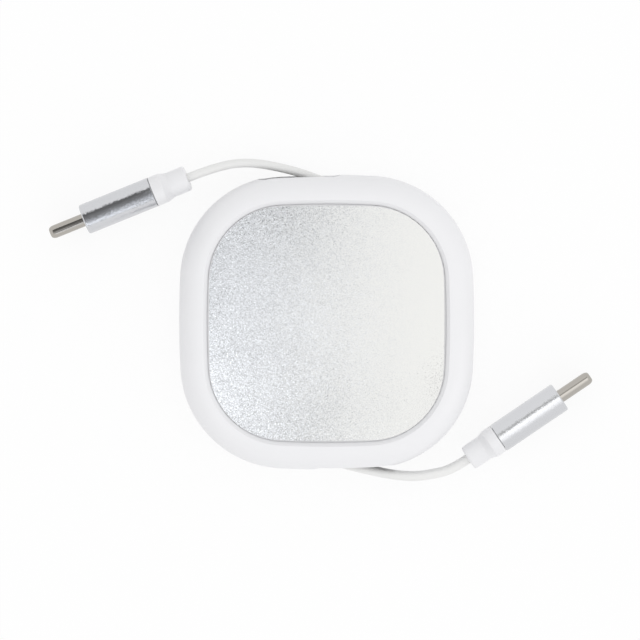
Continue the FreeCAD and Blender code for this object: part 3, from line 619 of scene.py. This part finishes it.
def repeat_upwards(piece, count, pitch, material):
    """Repeats a piece evenly above and below itself."""
    tree = bpy.data.node_groups.new("repeat_upwards", "GeometryNodeTree")
    tree.interface.new_socket("Geometry", in_out="INPUT", socket_type="NodeSocketGeometry")
    count_input = tree.interface.new_socket("Count", in_out="INPUT", socket_type="NodeSocketInt")
    pitch_input = tree.interface.new_socket("Pitch", in_out="INPUT", socket_type="NodeSocketFloat")
    tree.interface.new_socket("Geometry", in_out="OUTPUT", socket_type="NodeSocketGeometry")
    given = add(tree, "NodeGroupInput").outputs
    gaps = add(tree, "ShaderNodeMath", {0: given["Count"], 1: 1.0}, operation="SUBTRACT")
    span = add(tree, "ShaderNodeMath", {0: gaps.outputs[0], 1: given["Pitch"]}, operation="MULTIPLY")
    low = add(tree, "ShaderNodeMath", {0: span.outputs[0], 1: -0.5}, operation="MULTIPLY")
    start = add(tree, "ShaderNodeCombineXYZ", {"Z": low.outputs[0]})
    step = add(tree, "ShaderNodeCombineXYZ", {"Z": given["Pitch"]})
    line = add(
        tree,
        "GeometryNodeMeshLine",
        {"Count": given["Count"], "Start Location": start.outputs[0], "Offset": step.outputs[0]},
        mode="OFFSET",
    )
    copies = add(
        tree,
        "GeometryNodeInstanceOnPoints",
        {"Points": line.outputs[0], "Instance": given["Geometry"]},
    )
    solid = add(tree, "GeometryNodeRealizeInstances", {"Geometry": copies.outputs[0]})
    coated = add(tree, "GeometryNodeSetMaterial", {"Geometry": solid.outputs[0], "Material": material})
    add(tree, "NodeGroupOutput", {"Geometry": coated.outputs[0]})
    rows = piece.modifiers.new("rows", "NODES")
    rows.node_group = tree
    rows[count_input.identifier] = count
    rows[pitch_input.identifier] = pitch
    bake(piece)


# Plate
DOME_RADIUS = 340.0 * MM
PLATE_SIDE = 0.75 * MM
# How often the line where bevel and dome meet is worked out anew, each time from the last
CREST_TRIES = 8


def make_plate():
    """The domed plate: upright sides, then a bevel that climbs at 45 degrees until it meets the dome."""
    low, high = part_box("face_plate")
    inset = CASING_HALF - high.x
    shoulder = low.z + PLATE_SIDE
    centre = high.z - DOME_RADIUS

    def dome(x, y):
        return centre + math.sqrt(DOME_RADIUS**2 - x * x - y * y)

    edge = casing_outline(inset)
    near = casing_outline(inset + PLATE_SIDE)
    crest = []
    for (x, y), (inner_x, inner_y) in zip(edge, near):
        share = 0.0
        for _ in range(CREST_TRIES):
            crest_x = x + (inner_x - x) * share
            crest_y = y + (inner_y - y) * share
            share = (dome(crest_x, crest_y) - shoulder) / PLATE_SIDE
        crest.append((crest_x, crest_y))
    rings = [[Vector((x, y, height)) for x, y in edge] for height in (low.z, shoulder)]
    for i in range(DOME_STEPS):
        share = 1 - i / DOME_STEPS
        rings.append([Vector((x * share, y * share, dome(x * share, y * share))) for x, y in crest])
    return loft("blasted_plate", rings, PLATE_METAL)


# Assembly
def stand_for(piece, body, node):
    """Lets a piece move with a body, in place of a CAD node."""
    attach(piece, body)
    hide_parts(node)
    return piece


stand_for(make_plate(), "casing", "face_plate")
for node, body, material, slot in (
    ("top_shell", "casing", WHITE_ABS, "white_casing"),
    ("bottom_shell", "casing", WHITE_ABS, "white_casing"),
    ("plate_adhesive", "casing", ADHESIVE, "adhesive"),
    ("centre_screw", "casing", SCREW_STEEL, "screw_steel"),
    ("ratchet_ball", "casing", BALL_STEEL, "ball_steel"),
    ("reel_drum", "reel", ACETAL, "reel_acetal"),
    ("reel_cover", "reel", ACETAL, "reel_acetal"),
    ("wound_cable", "reel", JACKET, "cable_jacket"),
):
    stand_for(solid_copy(node, f"smooth_{node}", material), body, node)

# The spring's CAD node stays, with its own steel
spring = frame["nodes"]["mainspring"].data
spring.materials.clear()
spring.materials.append(SPRING_STEEL)

for letter in "ab":
    plug = Plug(letter)
    body = f"plug_{letter}"
    pieces = [
        stand_for(make_barrel(plug), body, f"barrel_{letter}"),
        stand_for(make_collar(plug), body, f"collar_{letter}"),
        stand_for(make_nose(plug), body, f"shell_{letter}"),
        stand_for(make_contacts(plug), body, f"contacts_{letter}"),
    ]
    for kind, material, slot in (
        ("insulator", BLACK_LCP, "black_insulator"),
        ("latch", LATCH_STEEL, "latch_steel"),
        ("board", BOARD, "board_green"),
    ):
        node = f"{kind}_{letter}"
        pieces.append(stand_for(solid_copy(node, f"smooth_{node}", material), body, node))
    tail, line = make_tail(letter)
    outlet = Vector((*ROUTES[letter][OUTLET_POINT], 0)) * MM
    outlet.z = CABLE_HEIGHT
    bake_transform(tail)
    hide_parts(f"cable_tail_{letter}")


# Studio: a white floor under a white dome, with cards that show only in reflections
def in_view(tree):
    """1 for rays that show the backdrop: seen by the camera, mirrored, or through a clear piece."""
    ray = add(tree, "ShaderNodeLightPath").outputs
    seen = ray["Is Camera Ray"]
    for kind in ("Is Glossy Ray", "Is Transmission Ray"):
        seen = add(tree, "ShaderNodeMath", {0: seen, 1: ray[kind]}, operation="MAXIMUM").outputs[0]
    return seen


FLOOR_HALF = 3.0
FLOOR_DROP = 0.05 * MM
PAPER = "#F8F8F8"
# How much of the floor's look is plain white, while the rest is paper that holds the shadow
FLOOR_GLOW = 0.88


def make_floor():
    """A white sweep, just under the object."""
    mesh = flat_sheet("floor", UP * -FLOOR_DROP, RIGHT * FLOOR_HALF, UP.cross(RIGHT) * FLOOR_HALF)
    material, tree = start_material("white_paper_sweep")
    share = add(tree, "ShaderNodeMath", {0: in_view(tree), 1: FLOOR_GLOW}, operation="MULTIPLY")
    paper = add(tree, "ShaderNodeBsdfDiffuse", {"Color": colour(PAPER)})
    glow = add(tree, "ShaderNodeEmission", {"Color": colour(WHITE), "Strength": 1.0})
    mix = add(tree, "ShaderNodeMixShader", {0: share.outputs[0], 1: paper.outputs[0], 2: glow.outputs[0]})
    finish_material(tree, mix)
    floor = add_object("floor", mesh, material)


# The dome's bright side, its least and greatest strength, and the cosine of the angle from the bright
# side at which it is least
BRIGHT_SIDE = Vector((0.33, -0.18, 0.92))
DARKEST = 0.52
BRIGHTEST = 1.12
DARKEST_FROM = -0.6


def make_world():
    """A white dome that shines more from the lower right, and shows as plain white."""
    world = bpy.data.worlds.new("studio")
    world.use_nodes = True
    tree = world.node_tree
    tree.nodes.clear()
    way = add(tree, "ShaderNodeTexCoord").outputs["Generated"]
    facing = add(
        tree,
        "ShaderNodeVectorMath",
        {0: way, 1: BRIGHT_SIDE.normalized()},
        operation="DOT_PRODUCT",
    )
    bright = add(
        tree,
        "ShaderNodeMapRange",
        {
            "Value": facing.outputs["Value"],
            "From Min": DARKEST_FROM,
            "To Min": DARKEST,
            "To Max": BRIGHTEST,
        },
        interpolation_type="SMOOTHSTEP",
    )
    dome = add(tree, "ShaderNodeBackground", {"Color": colour(WHITE), "Strength": bright.outputs[0]})
    backdrop = add(tree, "ShaderNodeBackground", {"Color": colour(WHITE), "Strength": 1.0})
    mix = add(tree, "ShaderNodeMixShader", {0: in_view(tree), 1: dome.outputs[0], 2: backdrop.outputs[0]})
    add(tree, "ShaderNodeOutputWorld", {"Surface": mix.outputs[0]})
    bpy.context.scene.world = world


def stage_card(card):
    """Sets a card up so that it shows only in reflections."""
    card.visible_camera = False
    card.visible_diffuse = False
    card.visible_transmission = False
    card.visible_shadow = False


# The share of a card's length that melts away at each end
CARD_END_FADE = 0.2


def make_card(name, middle, along, across, strength, near_fade, far_fade):
    """A soft-edged card. Along and across reach from its middle to its edges. The fades are the shares of
    its width that melt away at the two sides."""
    mesh = flat_sheet(name, middle, along, across)
    marks = mesh.uv_layers.new(name="card")
    for loop, (s, t) in zip(marks.data, SQUARE):
        loop.uv = ((s + 1) / 2, (t + 1) / 2)
    material, tree = start_material(name)
    spot = add(tree, "ShaderNodeUVMap", uv_map="card").outputs[0]
    share = add(tree, "ShaderNodeSeparateXYZ", {0: spot}).outputs
    solid = 1.0
    for axis, start, end in (
        ("X", 0.0, CARD_END_FADE),
        ("X", 1.0, 1 - CARD_END_FADE),
        ("Y", 0.0, near_fade),
        ("Y", 1.0, 1 - far_fade),
    ):
        edge = add(
            tree,
            "ShaderNodeMapRange",
            {"Value": share[axis], "From Min": start, "From Max": end},
            interpolation_type="SMOOTHSTEP",
        )
        both = {0: solid, 1: edge.outputs[0]}
        solid = add(tree, "ShaderNodeMath", both, operation="MULTIPLY").outputs[0]
    clear = add(tree, "ShaderNodeBsdfTransparent")
    glow = add(tree, "ShaderNodeEmission", {"Color": colour(WHITE), "Strength": strength})
    mix = add(tree, "ShaderNodeMixShader", {0: solid, 1: clear.outputs[0], 2: glow.outputs[0]})
    finish_material(tree, mix)
    stage_card(add_object(name, mesh, material))


# The cards above the plugs. Each line has the plug, where the card begins and ends across it, the card's
# strength, and its fades.
PLUG_CARDS = {
    "dark_card_a": ("a", -14.5 * MM, 20 * MM, 0.15, 0.03, 0.81),
    "dark_card_b": ("b", 3.4 * MM, 13 * MM, 0.5, 0.35, 0.65),
    "bright_card_b": ("b", -18 * MM, 3.4 * MM, 1.6, 0.85, 0.05),
}
PLUG_CARD_HALF = 20 * MM
PLUG_CARD_AHEAD = 7 * MM
PLUG_CARD_HEIGHT = 15 * MM


def make_plug_card(name, plug, low, high, strength, near_fade, far_fade):
    """A card above a plug's barrel, between two distances across it."""
    back, front = reach(f"barrel_{plug.letter}", plug.axis)
    level = UP.cross(plug.axis)
    middle = plug.point((back + front) / 2 + PLUG_CARD_AHEAD, 0, 0) + level * (low + high) / 2
    middle.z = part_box(f"barrel_{plug.letter}")[1].z + PLUG_CARD_HEIGHT
    along = plug.axis * PLUG_CARD_HALF
    make_card(name, middle, along, level * (high - low) / 2, strength, near_fade, far_fade)


# The card beside a plug: how far it stands from the plug's middle, and what share of it melts away at its
# foot and its top
FILL_CARD_AWAY = 6 * MM
FILL_CARD_HALF_TALL = 10 * MM
FILL_CARD_STRENGTH = 1.02
FILL_CARD_FOOT_FADE = 0.05
FILL_CARD_TOP_FADE = 0.25


def make_fill_card(name, plug):
    """A card that stands between a plug and the casing, so that the barrel reflects plain white there."""
    back, front = reach(f"barrel_{plug.letter}", plug.axis)
    middle = plug.point((back + front) / 2, 0, 0) + UP.cross(plug.axis) * FILL_CARD_AWAY
    middle.z = FILL_CARD_HALF_TALL
    along = plug.axis * PLUG_CARD_HALF
    upwards = UP * FILL_CARD_HALF_TALL
    make_card(name, middle, along, upwards, FILL_CARD_STRENGTH, FILL_CARD_FOOT_FADE, FILL_CARD_TOP_FADE)


# The softbox over the plate: it is full up to SOFTBOX_FULL of its half width, and melts away from there
SOFTBOX_HALF = 60 * MM
SOFTBOX_HEIGHT = 40 * MM
SOFTBOX_FULL = 0.75
SOFTBOX_LEVEL = 0.9
# Its tints at the left and right, and how far from its middle each is reached
SOFTBOX_LEFT = "#F7FAFF"
SOFTBOX_RIGHT = "#FFFFFC"
TINT_REACH = 26 * MM
# Changes of its level: the way across the plate, where along it the change begins and ends, and by how
# much
SOFTBOX_SHADES = (
    ((1, 0), -14 * MM, 26 * MM, 0.19),
    ((-1, 0), -4 * MM, 10 * MM, -0.07),
    ((-0.7, 0.7), 22 * MM, 34 * MM, -0.3),
    ((-0.7, -0.7), 22 * MM, 34 * MM, 0.25),
    ((-1, 0), 15 * MM, 28 * MM, 0.32),
)
# Its patches: their size in millimetres, and the way along which they grow strong, from where to where
PATCH_MM = 9
PATCH_DETAIL = 1
PATCH_CONTRAST = 5.6
PATCHY_WAY = (-0.97, -0.25)
PATCHY_FROM = -14 * MM
PATCHY_TO = 26 * MM


def soft_step(tree, place, way, low, high, change):
    """A value that grows softly from 0 to change between two distances along a level way."""
    along = add(tree, "ShaderNodeVectorMath", {0: place, 1: (*way, 0)}, operation="DOT_PRODUCT")
    step = add(
        tree,
        "ShaderNodeMapRange",
        {"Value": along.outputs["Value"], "From Min": low, "From Max": high, "To Max": change},
        interpolation_type="SMOOTHSTEP",
    )
    return step.outputs[0]


def make_plate_softbox():
    """A softbox above the plate: even at the right, and patchy at the left, so that the dents sparkle."""
    middle = UP * (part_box("face_plate")[1].z + SOFTBOX_HEIGHT)
    mesh = flat_sheet("plate_softbox", middle, RIGHT * SOFTBOX_HALF, UP.cross(RIGHT) * SOFTBOX_HALF)
    material, tree = start_material("plate_softbox")
    place = add(tree, "ShaderNodeTexCoord").outputs["Object"]
    patches = add(
        tree,
        "ShaderNodeTexNoise",
        {"Vector": place, "Scale": per_metre(PATCH_MM), "Detail": PATCH_DETAIL},
    )
    uneven = add(tree, "ShaderNodeMath", {0: patches.outputs["Fac"], 1: 0.5}, operation="SUBTRACT")
    contrast = soft_step(tree, place, PATCHY_WAY, PATCHY_FROM, PATCHY_TO, PATCH_CONTRAST)
    strength = add(
        tree,
        "ShaderNodeMath",
        {0: uneven.outputs[0], 1: contrast, 2: SOFTBOX_LEVEL},
        operation="MULTIPLY_ADD",
    )
    for way, low, high, change in SOFTBOX_SHADES:
        shade = soft_step(tree, place, way, low, high, change)
        strength = add(tree, "ShaderNodeMath", {0: strength.outputs[0], 1: shade}, operation="ADD")
    level = add(tree, "ShaderNodeVectorMath", {0: place, 1: (1, 1, 0)}, operation="MULTIPLY")
    away = add(tree, "ShaderNodeVectorMath", {0: level.outputs[0]}, operation="LENGTH")
    solid = add(
        tree,
        "ShaderNodeMapRange",
        {
            "Value": away.outputs["Value"],
            "From Min": SOFTBOX_HALF,
            "From Max": SOFTBOX_HALF * SOFTBOX_FULL,
        },
        interpolation_type="SMOOTHSTEP",
    )
    tint = add(
        tree,
        "ShaderNodeMixRGB",
        {
            "Fac": soft_step(tree, place, (1, 0), -TINT_REACH, TINT_REACH, 1.0),
            "Color1": colour(SOFTBOX_LEFT),
            "Color2": colour(SOFTBOX_RIGHT),
        },
    )
    clear = add(tree, "ShaderNodeBsdfTransparent")
    glow = add(tree, "ShaderNodeEmission", {"Color": tint.outputs[0], "Strength": strength.outputs[0]})
    mix = add(tree, "ShaderNodeMixShader", {0: solid.outputs[0], 1: clear.outputs[0], 2: glow.outputs[0]})
    finish_material(tree, mix)
    stage_card(add_object("plate_softbox", mesh, material))


# The picture's frame: almost straight down, from a little way towards +Y
PICTURE_SIDE = 640
SENSOR = 36.0
FOCAL_PIXELS = 3268
CAMERA_NEAR = 10 * MM
CAMERA_DISTANCE = 600 * MM
CAMERA_LEAN = math.radians(3)
CAMERA_AIM = Vector((-1.22, 0.35, 6.1)) * MM


def make_camera():
    """The camera, with +X to the right in its picture."""
    data = bpy.data.cameras.new("camera")
    data.sensor_width = SENSOR
    data.lens = FOCAL_PIXELS / PICTURE_SIDE * SENSOR
    data.clip_start = CAMERA_NEAR
    back = Vector((0, math.tan(CAMERA_LEAN), 1)).normalized()
    turned = Matrix((RIGHT, back.cross(RIGHT), back)).transposed().to_4x4()
    camera = bpy.data.objects.new("camera", data)
    camera.matrix_world = Matrix.Translation(CAMERA_AIM + back * CAMERA_DISTANCE) @ turned
    bpy.context.scene.collection.objects.link(camera)
    bpy.context.scene.camera = camera


make_floor()
make_world()
for name, (letter, low, high, strength, near_fade, far_fade) in PLUG_CARDS.items():
    make_plug_card(name, Plug(letter), low, high, strength, near_fade, far_fade)
make_fill_card("fill_card_b", Plug("b"))
make_plate_softbox()
make_camera()
bpy.context.scene.view_settings.view_transform = "Standard"
